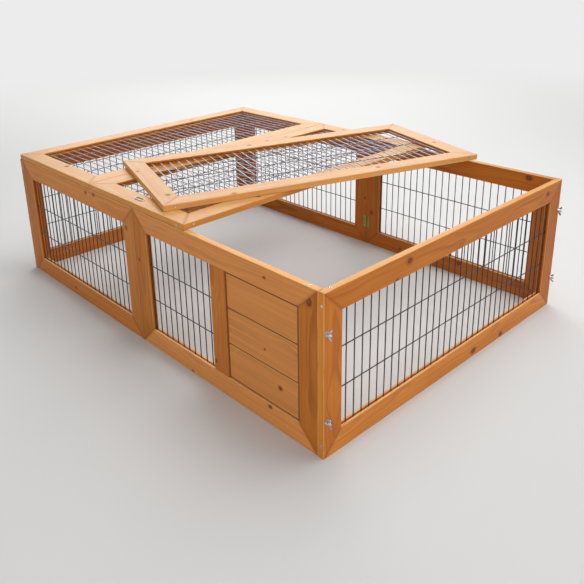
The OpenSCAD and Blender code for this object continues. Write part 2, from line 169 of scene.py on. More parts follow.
def scaled(colour, amount):
    # colour times a grey
    grey = newNode(treeOf(amount), "ShaderNodeCombineColor")
    for socket in grey.inputs:
        feed(socket, amount)
    return blended(1.0, colour, grey.outputs[0], "MULTIPLY")


# stained fir

timber = {
    "early": (0.600, 0.207, 0.025),     # wide pale part of a ring
    "late": (0.345, 0.085, 0.010),      # narrow dark part
    "blotch": (0.50, 0.148, 0.016),     # where the stain took deeper
    "edge": (0.650, 0.262, 0.035),      # outer edges, where the stain is thin
    "skySheen": (0.565, 0.358, 0.142),     # faces that look up, painted pale as a sheen of the sky's reflection
    "pinkSheen": (0.585, 0.298, 0.135),   # and the patches between, of the same painted sheen
    "milkyHaze": (0.620, 0.285, 0.105),     # what paler boards are mixed with: a paler stain, and painted haze of reflected light on the front boards
    "red": (1.0, 0.80, 0.62),           # what redder boards are multiplied by
    "wornHighlight": (0.88, 0.560, 0.230),       # eased edges, rubbed pale, with a painted highlight where they catch the light
    "paleLidEdge": (0.90, 0.470, 0.160),  # paler outer edges of the lids
    "creviceDarkAndShade": (0.150, 0.027, 0.007),   # dark joints between boards, and painted shade in the boarding's vees, beside the post and beside the boarding's frame
    "gap": (0.070, 0.022, 0.008),       # dark line where two mitres meet
    "halfWidth": 31.5 * mm, "halfThickness": 9.5 * mm,
    "edgeBand": 2.8 * mm, "edgeFull": 0.2,      # width of the rubbed edge with its painted highlight, and its share that is full
    "creviceWidth": 2.0 * mm, "creviceFull": 0.25,
    "rebateShadeWidth": 5.0 * mm,            # painted shade on the boarding beside its frame
    "rebateShadeMore": (5.0 * mm, 3.0 * mm),  # reaching further beside the end stile and under the top rail
    "gapWidth": 1.0 * mm, "gapFull": 0.1,
    "soakWidth": 9 * mm,                # end grain beside a mitre drinks more stain
    "soak": (0.7, 0.05),                # its share of the streaks, and what it has everywhere
    "lateAmount": 0.80, "blotchAmount": 0.55, "gapAmount": 0.50, "wornHighlightAmount": 0.42, "rebateShadeAmount": 0.80,
    "streakShade": (0.42, 0.79), "fibreShade": (0.24, 0.88),    # how far they darken, and the least
    "sheenUp": (0.30, 0.95),           # how far up a face looks: the painted sheen starts, is full
    "sheenLate": (-0.25, 0.80),        # dark rings take less of the painted sheen
    "skinDepth": (0.8 * mm, 0.2 * mm), "skinAmount": (0.35, 0.50),
    "roughness": 0.46, "fibreRough": 0.16, "lateRough": -0.07,
    "specular": 0.17, "coat": 0.03, "coatRoughness": 0.30,
    "bump": 0.35, "bumpDepth": 0.5 * mm,
    "lateHeight": 0.30, "fibreHeight": 0.45, "knotHeight": 0.35,
    "toneSpread": 0.06,                 # how far boards of one stain differ
    "seedStep": 0.731, "seedStart": 0.4,
}
rings = {
    "pitch": 5.6 * mm,
    "pithBelow": 46 * mm,               # how far under the board's middle the rings have their middle
    "pithDrift": 50 * mm, "driftScale": 1.7,    # and how far that wanders, and how often in a metre
    "pithAcross": 30 * mm,
    "wander": 16 * mm,                  # how far the grain strays across the board
    "waver": 0.45,                      # ragged edges of a ring, in rings
    "rise": (0.25, 0.84), "fall": (1.0, 0.90),  # where in a ring the dark part comes and goes
    "strengthScale": 0.83, "strong": (0.22, 0.72),
    "faint": 0.20,                      # what is left of them where they hardly show
}
knotLook = {
    "halo": (0.37, 0.097, 0.012),       # wood round a knot
    "core": (0.175, 0.050, 0.012),
    "rim": (0.070, 0.020, 0.007),
    "squash": 0.78,                     # a knot's width over its length
    "fade": 0.40, "pull": 0.85,         # reach and strength of the swelling grain
    "ragged": 0.55,
    "rings": 17.0,
    "haloReach": 2.3,                   # in knot radii
    "haloAmount": 0.70, "ringAmount": 0.55,
    "rimEdges": (0.70, 0.98), "coreEdges": (1.10, 0.94),
    "off": 20.0,                        # radii added where only the grain bends
}
# changes per metre along and across the board, start, detail and roughness of each noise in the timber
grainNoise = {
    "wander": (2.4, 10, 0.0, 2, 0.5), "ragged": (90, 120, 3.0, 3, 0.5), "waver": (5, 60, 1.0, 2, 0.5),
    "clear": (3.5, 16, 11.0, 1, 0.5), "fibre": (26, 950, 2.0, 3, 0.6), "streak": (2.2, 120, 4.0, 3, 0.5),
    "blotch": (5, 14, 6.0, 3, 0.5), "upSheen": (14, 30, 13.0, 3, 0.5), "wearAndHighlight": (30, 60, 8.0, 3, 0.5),
}
# noise that makes patches: where they begin, and where they are full
patchEdges = {"clear": (0.34, 0.62), "blotch": (0.35, 0.72), "upSheen": (0.40, 0.62), "wearAndHighlight": (0.10, 0.62)}
knotSlots = ("Knot A", "Knot B", "Knot C", "Knot D")
timberInputs = ("Seed", "Tone", "Red", "Up", "Spread", "Paired", "Outer", "Half Width", "Half Length",
                "Joint Out", "Joint In", "Rebate Long", "Rebate Wide", "Pale Edge", "Milky Haze")
farOff = 9.0                            # metres, more than any board has
seedSteps = {"pair": 0.37, "along": 5.37, "across": 2.11, "pithPlace": 9.1, "pithTurn": 7.7}
noKnot = (farOff, farOff, 0.001)


def boardPlace(given):
    # the place in the board's own metres, its seed, and how far it is towards the frame's outside
    along, across, through = split(given["Board"])
    # a node of two boards has one at each side of its middle, each with its own grain
    half = calc("SIGN", across)
    seed = timesPlus(times(half, given["Paired"]), seedSteps["pair"], given["Seed"])
    single = times(across, given["Outer"])
    outward = minus(calc("ABSOLUTE", across), given["Spread"])
    outward = timesPlus(minus(outward, single), given["Paired"], single)
    return {"along": along, "across": across, "through": through, "seed": seed, "outward": outward}


def boardNoise(board, name):
    # long along the board, fine across it, and apart for every seed
    alongScale, acrossScale, start, detail, roughness = grainNoise[name]
    seed = board["seed"]
    x = timesPlus(board["along"], alongScale, timesPlus(seed, seedSteps["along"], start))
    y = timesPlus(board["across"], acrossScale, times(seed, seedSteps["across"]))
    z = times(board["through"], acrossScale)
    return noise(joined(x, y, z), detail=detail, roughness=roughness)


def patches(board, name):
    return eased(boardNoise(board, name), *patchEdges[name])


def bentGrain(given, board):
    # The across value is drawn in towards each knot by a gaussian of the distance, so the rings
    # swell round it. Also the distance to the nearest knot, in its radii, with a ragged edge.
    look = knotLook
    wander = minus(boardNoise(board, "wander"), 0.5)
    bent = timesPlus(wander, rings["wander"], board["across"])
    nearest = farOff / mm
    for name in knotSlots:
        knotAlong, knotAcross, knotRadius = split(given[name])
        dx = times(minus(board["along"], knotAlong), look["squash"])
        dy = minus(bent, knotAcross)
        away = calc("DIVIDE", distance(dx, dy), calc("ABSOLUTE", knotRadius))
        fade = times(away, look["fade"])
        pull = calc("EXPONENT", times(times(fade, fade), -1.0))
        bent = minus(bent, times(times(dy, pull), look["pull"]))
        # a radius below 0 bends the grain round a place with no knot in it
        away = timesPlus(calc("LESS_THAN", knotRadius, 0.0), look["off"], away)
        nearest = calc("MINIMUM", nearest, away)
    ragged = minus(boardNoise(board, "ragged"), 0.5)
    return bent, timesPlus(ragged, look["ragged"], nearest)


def lateWood(board, bent):
    # A ring's phase is the distance to the pith line over the ring pitch. The pith lies below the
    # face and drifts along the board. 1 in the dark part of a ring, 0 in the pale part.
    look = rings
    seed = board["seed"]
    x = timesPlus(board["along"], look["driftScale"], times(seed, seedSteps["pithPlace"]))
    drift = noise(joined(x, 0.0, 0.0))
    aside = calc("SINE", times(seed, seedSteps["pithTurn"]))
    below = timesPlus(drift, look["pithDrift"], look["pithBelow"] - look["pithDrift"] / 2)
    radius = distance(minus(bent, times(aside, look["pithAcross"])), plus(board["through"], below))
    phase = calc("DIVIDE", radius, look["pitch"])
    phase = timesPlus(boardNoise(board, "waver"), look["waver"], phase)
    turn = calc("FRACT", phase)
    late = times(eased(turn, *look["rise"]), eased(turn, *look["fall"]))
    # some rings are stronger than others, and all show well in some places and hardly in others
    ring = joined(calc("FLOOR", phase), seed, 0.0)
    strength = noise(ring, scale=look["strengthScale"], detail=0.0)
    late = times(late, eased(strength, *look["strong"]))
    return times(late, timesPlus(patches(board, "clear"), 1 - look["faint"], look["faint"]))


def stainedWood(given, board, late, fibre, streak):
    # the rings under the stain, then the board's own tone, and the painted sheen where it looks up, pale as the
    # sky's reflection
    look = timber
    colour = blended(times(late, look["lateAmount"]), look["early"], look["late"])
    blotch = times(patches(board, "blotch"), look["blotchAmount"])
    colour = blended(blotch, colour, look["blotch"])
    shade = timesPlus(streak, *look["streakShade"])
    shade = times(shade, timesPlus(fibre, *look["fibreShade"]))
    shade = times(shade, given["Tone"])
    colour = scaled(colour, shade)
    colour = blended(given["Red"], colour, look["red"], "MULTIPLY")
    # paler boards: a paler stain, and painted haze of reflected light
    colour = blended(given["Milky Haze"], colour, scaled(look["milkyHaze"], shade))
    # painted sheen: faces that look up are mixed towards a pale colour, as the sky's reflection on them
    upSheen = eased(given["Up"], *look["sheenUp"])
    upSheen = times(upSheen, timesPlus(late, *look["sheenLate"]))
    skySheen = blended(patches(board, "upSheen"), look["skySheen"], look["pinkSheen"])
    return blended(upSheen, colour, scaled(skySheen, shade)), shade


def withKnots(colour, nearest):
    # a reddish halo, a dark rim and rings inside; also 1 on a knot and 0 off it
    look = knotLook
    halo = times(eased(nearest, look["haloReach"], 1.0), look["haloAmount"])
    colour = blended(halo, colour, look["halo"])
    inner = timesPlus(calc("SINE", times(nearest, look["rings"])), 0.5, 0.5)
    core = blended(times(inner, look["ringAmount"]), look["core"], look["halo"])
    core = blended(eased(nearest, *look["rimEdges"]), core, look["rim"])
    knot = eased(nearest, *look["coreEdges"])
    return blended(knot, colour, core), knot


def withMitre(given, board, colour, streak):
    # half length - half width + outward - |along| is 0 on the mitre plane, which stands at 45 degrees
    look = timber
    away = minus(given["Half Length"], given["Half Width"])
    away = minus(plus(away, board["outward"]), calc("ABSOLUTE", board["along"]))
    away = times(away, math.cos(math.pi / 4))
    soak = times(eased(away, look["soakWidth"], 0.0), timesPlus(streak, *look["soak"]))
    colour = blended(soak, colour, look["late"])
    gap = eased(away, look["gapWidth"], look["gapFull"] * look["gapWidth"])
    return blended(times(gap, look["gapAmount"]), colour, look["gap"])


def besideEdges(outerPart, innerPart, width, full, outAmount, inAmount):
    # outer + inner: each is its amount up to the full share of the width from its edge, 0 past the width
    outer = times(eased(outerPart, -width, -full * width), outAmount)
    inner = times(eased(innerPart, -width, -full * width), inAmount)
    return plus(outer, inner)


def withEdges(given, board, colour, shade):
    # the outer edge's own face, the eased edges where a side meets a face, worn pale with a painted highlight,
    # then the dark joints with other boards and the painted shade beside them
    look = timber
    outerPart = minus(board["outward"], given["Half Width"])
    innerPart = minus(times(board["outward"], -1.0), given["Half Width"])
    openOut, openIn = (minus(1.0, given[name]) for name in ("Joint Out", "Joint In"))
    skin = times(eased(outerPart, *(-depth for depth in look["skinDepth"])), openOut)
    skin = times(skin, timesPlus(given["Pale Edge"], *look["skinAmount"]))
    skinColour = blended(given["Pale Edge"], look["edge"], look["paleLidEdge"])
    colour = blended(skin, colour, scaled(skinColour, shade))

    band, full = look["edgeBand"], look["edgeFull"]
    sides = besideEdges(outerPart, innerPart, band, full, openOut, openIn)
    depth = calc("ABSOLUTE", board["through"])
    face = eased(depth, look["halfThickness"] - band, look["halfThickness"] - full * band)
    # eased edges: wear, and a painted highlight where the edges catch the light
    wearAndHighlight = times(times(sides, face), patches(board, "wearAndHighlight"))
    colour = blended(times(wearAndHighlight, look["wornHighlightAmount"]), colour, look["wornHighlight"])

    # dark joints with other boards, and painted shade beside the post, beside the bay and in the boarding's
    # vees
    full = look["creviceFull"]
    jointAndShade = besideEdges(outerPart, innerPart, look["creviceWidth"], full, given["Joint Out"], given["Joint In"])
    # painted shade on the boarding beside its frame
    inside = farOff
    for place, half, more in ((board["along"], given["Rebate Long"], look["rebateShadeMore"][0]),
                              (board["across"], given["Rebate Wide"], look["rebateShadeMore"][1])):
        inside = calc("MINIMUM", inside, plus(half, place))
        inside = calc("MINIMUM", inside, minus(minus(half, place), more))
    rebateShade = eased(inside, look["rebateShadeWidth"], full * look["rebateShadeWidth"])
    jointAndShade = calc("MAXIMUM", jointAndShade, times(rebateShade, look["rebateShadeAmount"]))
    return blended(jointAndShade, colour, look["creviceDarkAndShade"])


def makeTimberGroup():
    # grain in a board's own metres: x along, y across, z through
    tree = bpy.data.node_groups.new("timberGrain", "ShaderNodeTree")
    for names, way, kind in ((("Board",), "INPUT", "Vector"), (timberInputs, "INPUT", "Float"),
                             (knotSlots, "INPUT", "Vector"), (("Color",), "OUTPUT", "Color"),
                             (("Roughness", "Height"), "OUTPUT", "Float")):
        for name in names:
            tree.interface.new_socket(name, in_out=way, socket_type="NodeSocket" + kind)
    given = newNode(tree, "NodeGroupInput").outputs
    out = newNode(tree, "NodeGroupOutput").inputs

    board = boardPlace(given)
    bent, nearest = bentGrain(given, board)
    late = lateWood(board, bent)
    fibre, streak = boardNoise(board, "fibre"), boardNoise(board, "streak")
    colour, shade = stainedWood(given, board, late, fibre, streak)
    colour, knot = withKnots(colour, nearest)
    colour = withMitre(given, board, colour, streak)
    colour = withEdges(given, board, colour, shade)

    look = timber
    rough = timesPlus(fibre, look["fibreRough"], look["roughness"] - look["fibreRough"] / 2)
    height = timesPlus(late, look["lateHeight"], times(fibre, look["fibreHeight"]))
    feed(out["Color"], colour)
    feed(out["Roughness"], timesPlus(late, look["lateRough"], rough))
    feed(out["Height"], timesPlus(knot, look["knotHeight"], height))
    return tree


timberGroup = makeTimberGroup()


def timberMaterial(name, centre, axes, sizes, knots=()):
    # axes are the board's along, across and through directions, sizes the group's single numbers
    made, tree = newMaterial("timber_" + name)
    shader = tree.nodes["Principled BSDF"]
    place = newNode(tree, "ShaderNodeTexCoord")
    toBoard = Matrix(axes).to_3x3()
    mapping = newNode(tree, "ShaderNodeMapping", vector_type="POINT")
    feedAll(mapping, {"Vector": place.outputs["Object"], "Rotation": toBoard.to_euler(),
                      "Location": -(toBoard @ Vector(centre))})
    grain = newNode(tree, "ShaderNodeGroup", node_tree=timberGroup)
    feedAll(grain, {"Board": mapping.outputs["Vector"], "Up": split(place.outputs["Normal"])[2]})
    feedAll(grain, sizes)
    places = [Vector(knot) * mm for knot in knots] + [noKnot] * 4
    feedAll(grain, dict(zip(knotSlots, places)))
    feedAll(shader, {"Base Color": grain.outputs["Color"], "Roughness": grain.outputs["Roughness"],
                     "Specular IOR Level": timber["specular"], "Coat Weight": timber["coat"],
                     "Coat Roughness": timber["coatRoughness"]})
    bumped(shader, grain.outputs["Height"], timber)
    return made


# how light a board's stain is, with painted shade darkening the boards inside the pen, 1 as the rest, how red,
# and how milky with painted haze; a name stands for all nodes that start with it, and the first that fits is
# taken
stainsAndShade = {
    "front_right_top_rail": (1.18, 0.0, 0.40), "front_right_bottom_rail": (1.32, 0.0, 0.45),
    "front_right_boards": (1.18, 0.0, 0.42), "front_right_post": (0.97, 0.1, 0.0),
    "front_right_end_stile": (0.98, 0.3, 0.0), "front_left_end_stile": (0.86, 0.5, 0.0),
    "front_left_bottom_rail": (1.0, 0.2, 0.1), "front_left_fold_stile": (0.96, 0.1, 0.1),
    "front_left": (1.05, 0.0, 0.25),
    "end_near_bottom_rail": (1.34, 0.0, 0.12), "end_near_front_stile": (1.12, 0.45, 0.0),
    "end_near_back_stile": (0.98, 0.7, 0.0), "end_near": (1.04, 0.3, 0.0),
    # the back and far-end boards are darker: painted shade of the pen's inside
    "back": (0.80, 0.45, 0.0), "end_far": (0.82, 0.40, 0.0), "": (1.0, 0.0, 0.0),
}

# knots: along and across from the board's middle, and radius, in mm, below 0 where only the grain bends
knots = {
    "front_left_top_rail": [(97, 14, 4.5), (150, 18, 4.5), (-40, -30, -16)],
    "front_left_bottom_rail": [(-64, -8, 4), (180, 12, -9)],
    "front_left_end_stile": [(60, 8, -8)],
    "front_left_fold_stile": [(150, -12, 4.5), (-60, 16, -9)],
    "front_right_fold_stile": [(62, -18, 4), (-110, 6, -10)],
    "front_right_top_rail": [(-230, -3, -12), (-110, 4, -15), (205, 3, 3)],
    "front_right_end_stile": [(187, 0, 8), (-80, 10, -12)],
    "front_right_bottom_rail": [(214, 24, 4.4), (-124, -24, 3.2)],
    "front_right_post": [(-132, -23, 4), (60, 6, -10)],
    "front_right_boards_odd": [(65, -97, 4.6), (-90, 100, -9)],
    "front_right_boards_even": [(10, -12, 2.3), (90, 22, -10)],
    "end_near_top_rail": [(-246, 10, 7), (469, 4, 6), (-296, -29, 5), (-60, 12, -14)],
    "end_near_bottom_rail": [(95, -13, 8), (251, -20, 6), (-250, 4, -14)],
    "end_near_front_stile": [(-60, 10, -14), (90, -6, -10)],
    "back_right_bottom_rail": [(61, 15, 7), (-210, -6, 4)],
    "back_right_top_rail": [(300, 16, 8), (-150, -10, 5)],
    "back_left_fold_stile": [(-28, 22, 4), (110, 16, 5)],
    "back_right_fold_stile": [(-82, -6, 6), (70, 10, -9)],
    "end_far_bottom_rail": [(-150, 8, 7), (240, -12, 6)],
    "end_far_top_rail": [(180, -5, 6), (-260, 8, -14)],
    "lid_a_short_rails": [(24, -514, 6)],
    "lid_a_long_rails": [(220, -226, 5), (-310, 238, 5), (40, 232, -12)],
    "lid_b_short_rails": [(-120, 530, 5)],
    "lid_b_long_rails": [(201, -231, 5), (293, -219, 4), (-260, 236, 5)],
    "lid_c_short_rails": [(172, -520, 6), (-105, -544, 4), (60, 528, 5)],
    "lid_c_long_rails": [(-337, 252, 5), (180, 226, 5), (-90, -236, 5), (60, -230, -12)],
}

lidTurn = math.radians(-19)         # how far the loose lid is turned
lidAlong = Matrix.Rotation(lidTurn, 3, "Z") @ yAxis
lidAcross = Matrix.Rotation(lidTurn, 3, "Z") @ xAxis


def grainAxes(node):
    # along, across and through, as a right-handed set
    if node.startswith("lid"):
        length, width = (lidAlong, lidAcross) if node.startswith("lid_c") else (yAxis, xAxis)
        return (length, width, -zAxis) if "long" in node else (width, length, zAxis)
    flat = yAxis if node.startswith("end") else xAxis
    if "stile" in node or "post" in node:
        return zAxis, flat, zAxis.cross(flat)
    return flat, zAxis, flat.cross(zAxis)


def panelMiddle(node):
    # middle of the frame that a board belongs to
    panel = "_".join(node.split("_")[:2]) + "_"
    boards = [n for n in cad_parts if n.startswith(panel) and n.endswith(("rail", "stile"))]
    corners = [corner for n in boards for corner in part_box(n)]
    return Vector([(min(c[k] for c in corners) + max(c[k] for c in corners)) / 2 for k in range(3)])


# how dark the joints of some boards are: a dark joint at the fold, and painted shade in the boarding's vees,
# beside the post and beside the bay; and how pale the lids' outer edges are
jointDarkAndShade = {"boarding": 0.92, "post": 0.5, "fold": 0.45, "bay": 0.5}
lidEdgePale = {"lid_c": 0.9, "lid": 0.35}
boardCover = 108 * mm               # height of one board of the boarding


def boardSizes(node, centre, axes):
    # where a node's boards end and which of their sides is the frame's outside
    along, across = axes[0], axes[1]
    low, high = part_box(node)
    size = high - low
    sizes = {"Spread": 0.0, "Paired": 0.0, "Outer": 1.0, "Pale Edge": 0.0, "Joint Out": 0.0, "Joint In": 0.0,
             "Half Width": timber["halfWidth"], "Half Length": farOff,
             "Rebate Long": farOff, "Rebate Wide": farOff}
    if node.endswith("_rails"):
        lidLow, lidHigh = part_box("lid_b_long_rails")
        lid = lidHigh - lidLow
        length, width = (lid.y, lid.x) if "long" in node else (lid.x, lid.y)
        sizes.update({"Paired": 1.0, "Half Length": length / 2, "Spread": width / 2 - timber["halfWidth"]})
        sizes["Pale Edge"] = lidEdgePale["lid_c" if node.startswith("lid_c") else "lid"]
    elif "boards" in node:
        # the boarding shows between the post, the end stile and the two rails
        postEdge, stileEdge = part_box("front_right_post")[1].x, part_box("front_right_end_stile")[0].x
        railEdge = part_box("front_right_top_rail")[0].z
        sizes.update({"Half Width": boardCover / 2, "Rebate Long": (stileEdge - postEdge) / 2,
                      "Rebate Wide": railEdge - centre.z})
        # painted shade in the vees between the boards
        sizes["Joint Out"] = sizes["Joint In"] = jointDarkAndShade["boarding"]
        if node.endswith("odd"):
            sizes.update({"Paired": 1.0, "Spread": boardCover})
    elif node.endswith("post"):
        # painted shade beside the post
        sizes["Joint Out"] = sizes["Joint In"] = jointDarkAndShade["post"]
    else:
        sizes["Half Length"] = abs(size.dot(along)) / 2
        sizes["Outer"] = math.copysign(1.0, across.dot(centre - panelMiddle(node)))
        if node.endswith("fold_stile"):
            sizes["Joint Out"] = jointDarkAndShade["fold"]
        # painted shade on the bay side of the end stile and the top rail
        if node in ("front_right_end_stile", "front_right_top_rail"):
            sizes["Joint In"] = jointDarkAndShade["bay"]
    return sizes


def dressTimber():
    boards = [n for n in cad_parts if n.endswith(("rail", "rails", "stile", "post")) or "boards" in n]
    spread = timber["toneSpread"]
    rng = np.random.default_rng(7)
    for index, node in enumerate(sorted(boards)):
        low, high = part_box(node)
        centre = (low + high) / 2
        if "boards" in node:
            # the box holds tongues too, so the bay's own middle is taken
            centre.z = (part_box("front_right_bottom_rail")[1].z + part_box("front_right_top_rail")[0].z) / 2
        axes = grainAxes(node)
        sizes = boardSizes(node, centre, axes)
        tone, red, milkyHaze = [stain for start, stain in stainsAndShade.items() if node.startswith(start)][0]
        tone *= float(rng.uniform(1 - spread, 1 + spread))
        seed = index * timber["seedStep"] + timber["seedStart"]
        sizes.update({"Seed": seed, "Tone": tone, "Red": red, "Milky Haze": milkyHaze})
        paint(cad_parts[node], timberMaterial(node, centre, axes, sizes, knots.get(node, ())))
    print("timber dressed:", len(boards), "nodes")


# metals

metals = {
    "zinc": {"colour": (0.72, 0.73, 0.78), "spot": (0.50, 0.51, 0.56), "metallic": 1.0, "roughness": 0.22},
    "brass": {"colour": (0.35, 0.31, 0.07), "spot": (0.27, 0.23, 0.05), "metallic": 0.75, "roughness": 0.34},
    "brassHead": {"colour": (0.62, 0.50, 0.20), "spot": (0.45, 0.36, 0.13),
                  "metallic": 0.85, "roughness": 0.25},
}
metalGrain = {"patchScale": 160, "patch": (0.40, 0.70), "scuffScale": 900, "scuffRough": 0.22, "smoother": 0.08,
              "bump": 0.15, "bumpDepth": 0.1 * mm}


def metalMaterial(name, look, colour=None):
    # two colours in patches, with finer scuffs in the roughness; colour, if given, makes the two
    made, tree = newMaterial(name)
    shader = tree.nodes["Principled BSDF"]
    place = newNode(tree, "ShaderNodeTexCoord").outputs["Object"]
    patch = eased(noise(place, scale=metalGrain["patchScale"], detail=3), *metalGrain["patch"])
    scuff = noise(place, scale=metalGrain["scuffScale"], detail=3)
    first, second = colour(place) if colour else (look["colour"], look["spot"])
    rough = timesPlus(scuff, metalGrain["scuffRough"], look["roughness"] - metalGrain["smoother"])
    feedAll(shader, {"Base Color": blended(patch, first, second), "Roughness": rough,
                     "Metallic": look["metallic"]})
    bumped(shader, scuff, metalGrain)
    return made


materials = {name: metalMaterial(name, look) for name, look in metals.items()}

# the wires' coating with painted sheen: close wires and the stiffening ones they are welded to, each with its
# scuffed shade; the wires that lie on top facing the sky are painted lighter as their reflection of it, the
# stiffening ones on the walls and the close ones on the lids
wireCoatAndSheen = {
    "wall": {"close": (0.012, 0.011, 0.010), "closeSpot": (0.026, 0.023, 0.021),
             "row": (0.050, 0.046, 0.060), "rowSpot": (0.085, 0.080, 0.098),
             "metallic": 0.0, "roughness": 0.34},
    "lid": {"close": (0.50, 0.49, 0.53), "closeSpot": (0.34, 0.33, 0.38),
            "row": (0.135, 0.125, 0.155), "rowSpot": (0.085, 0.080, 0.100),
            "metallic": 0.65, "roughness": 0.32},
    "blend": 0.2 * mm,                  # either side of the depth where one kind ends
}


def wireMaterial(node):
    # the net's thin direction tells close wires from stiffening ones: its box is cut at the middle
    look = wireCoatAndSheen["lid" if node.startswith("lid") else "wall"]
    low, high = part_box(node)
    size = high - low
    thin = min(range(3), key=lambda k: size[k])
    middle = (low[thin] + high[thin]) / 2
    # stiffening wires lie towards this sign of the thin direction
    rowSide = {"end_near": -1, "end_far": 1, "front": -1, "back": 1, "lid": -1}
    sign = [way for start, way in rowSide.items() if node.startswith(start)][0]

    def colour(place):
        depth = times(minus(split(place)[thin], middle), sign)
        # painted sheen: one set of wires is lighter, as the sky's reflection on its top
        row = eased(depth, -wireCoatAndSheen["blend"], wireCoatAndSheen["blend"])
        return blended(row, look["close"], look["row"]), blended(row, look["closeSpot"], look["rowSpot"])

    return metalMaterial("wire_" + node, look, colour)


def dressMetal():
    for node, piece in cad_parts.items():
        if node.endswith("mesh"):
            paint(piece, wireMaterial(node))
        elif node.startswith("hinge"):
            paint(piece, materials["brass"])
        elif node == "washers":
            paint(piece, materials["zinc"])


# fittings, worked out as surfaces

def quads(rows, columns, wrapRows, wrapColumns):
    # corner numbers of the cells of a rows x columns grid, closed round where wrapped
    i, j = np.meshgrid(np.arange(rows - (not wrapRows)), np.arange(columns - (not wrapColumns)), indexing="ij")
    i, j = i.ravel(), j.ravel()
    nextI, nextJ = (i + 1) % rows, (j + 1) % columns
    return np.stack([i * columns + j, nextI * columns + j, nextI * columns + nextJ, i * columns + nextJ], 1)


def placed(points, moves):
    # every move's turn and shift of the same points: p' = R p + t
    turns = np.array([np.array(m.to_3x3()) for m in moves])
    shifts = np.array([np.array(m.translation) for m in moves])
    flat = points.reshape(-1, 3)
    return (np.einsum("kij,nj->kni", turns, flat) + shifts[:, None]).reshape(len(moves), *points.shape)


weldReach, sharpTurn = 0.004 * mm, math.radians(35)


def makePiece(name, sheets, moves, material, body, nodes):
    # sheets are (points, wrapRows, wrapColumns); each is repeated at every move, in one mesh
    corners, cells, start = [], [], 0
    for points, wrapRows, wrapColumns in sheets:
        copies = placed(points, moves)
        rows, columns = points.shape[:2]
        cell = quads(rows, columns, wrapRows, wrapColumns)
        count = rows * columns
        corners.append(copies.reshape(-1, 3))
        cells.append((cell[None] + (start + count * np.arange(len(moves)))[:, None, None]).reshape(-1, 4))
        start += count * len(moves)
    data = bpy.data.meshes.new(name)
    data.from_pydata(np.concatenate(corners), [], np.concatenate(cells))
    shell = bmesh.new()
    shell.from_mesh(data)
    bmesh.ops.remove_doubles(shell, verts=shell.verts, dist=weldReach)
    bmesh.ops.recalc_face_normals(shell, faces=shell.faces)
    shell.to_mesh(data)
    shell.free()
    data.shade_smooth()
    data.set_sharp_from_angle(angle=sharpTurn)
    piece = newObject(name, data)
    paint(piece, material)
    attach(piece, body)
    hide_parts(*nodes)


def turned(profile, count):
    # profile (r, z) carried round the axis: (r cos a, r sin a, z)
    angle = np.linspace(0, 2 * np.pi, count, endpoint=False)[None]
    r, z = profile[:, :1], profile[:, 1:]
    return np.stack([r * np.cos(angle), r * np.sin(angle), z + 0 * angle], -1)


def footMiddle(node):
    # the middle of the underside of a node's box
    low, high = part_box(node)
    return Vector(((low.x + high.x) / 2, (low.y + high.y) / 2, low.z))


def frameMoves():
    # Where each frame's own corner is, with its width and height: a frame lies with its width
    # on x, its height on y and its outside on +z.
    def move(corner, along, up):
        return Matrix.Translation(corner) @ Matrix((along, up, along.cross(up))).transposed().to_4x4()

    frames = {}
    for name, along in (("end_near", yAxis), ("end_far", -yAxis), ("front_left", xAxis),
                        ("front_right", xAxis), ("back_left", -xAxis), ("back_right", -xAxis)):
        low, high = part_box(name + "_top_rail")
        # the corner where the board starts, on the wall's inner face
        way = along + along.cross(zAxis)
        corner = Vector((low.x if way.x > 0 else high.x, low.y if way.y > 0 else high.y, 0))
        frames[name] = (move(corner, along, zAxis), abs((high - low).dot(along)), high.z)
    low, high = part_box("lid_b_long_rails")
    width, length = high.x - low.x, high.y - low.y
    for name, across, along in (("lid_a", xAxis, yAxis), ("lid_b", xAxis, yAxis),
                                ("lid_c", lidAcross, lidAlong)):
        corner = footMiddle(name + "_long_rails") - across * width / 2 - along * length / 2
        frames[name] = (move(corner, across, along), width, length)
    return frames


frames = frameMoves()

screwLook = {
    "in": 35 * mm,                      # from its corner
    "shift": 2.4 * mm,                  # either side of mid thickness
    "mid": 9.5 * mm,
    "sunk": 0.3 * mm,
    "head": 7.4 * mm, "shank": 3.5 * mm, "length": 44.5 * mm,
    "recess": 1.5 * mm, "armWidth": 0.62 * mm, "armReach": 2.3 * mm,
    "around": 32,
}
hingeScrewLook = {"head": 5.5 * mm, "shank": 2.9 * mm, "length": 12.8 * mm,
                  "recess": 1.1 * mm, "armWidth": 0.5 * mm, "armReach": 1.7 * mm, "around": 28}
# every head: rings on its top and how far out they reach, the rim, and the cone swelling a part down
headForm = {"rings": 15, "flat": 0.97, "rim": 0.12 * mm, "part": 0.2, "swell": 0.1 * mm}
crossTurn = 1.57                        # radians, after which a cross looks the same


def screwSheet(look):
    # Head, cone, shank and point turned round z, with its top on z = 0. The cross is pressed in
    # by depth * max(a(x) b(y), a(y) b(x)), with a(t) = 1 / (1 + (t / width)^8) and
    # b(t) = 1 / (1 + (t / reach)^12).
    head, shank = look["head"] / 2, look["shank"] / 2
    neck = shank - head
    top = np.linspace(0.0, headForm["flat"], headForm["rings"])[:, None] * head * np.array([[1.0, 0.0]])
    bulge = neck * headForm["part"]
    body = np.array([[head, -headForm["rim"]], [head + bulge, bulge - headForm["swell"]], [shank, neck],
                     [shank, shank - look["length"]], [0.0, -look["length"]]])
    points = turned(np.concatenate([top, body]), look["around"])
    pressed = points[:headForm["rings"]]
    x, y = np.abs(pressed[:, :, 0]), np.abs(pressed[:, :, 1])

    def arm(s, t):
        return 1 / (1 + (s / look["armWidth"]) ** 8) / (1 + (t / look["armReach"]) ** 12)

    pressed[:, :, 2] -= look["recess"] * np.maximum(arm(x, y), arm(y, x))
    return points, False, True


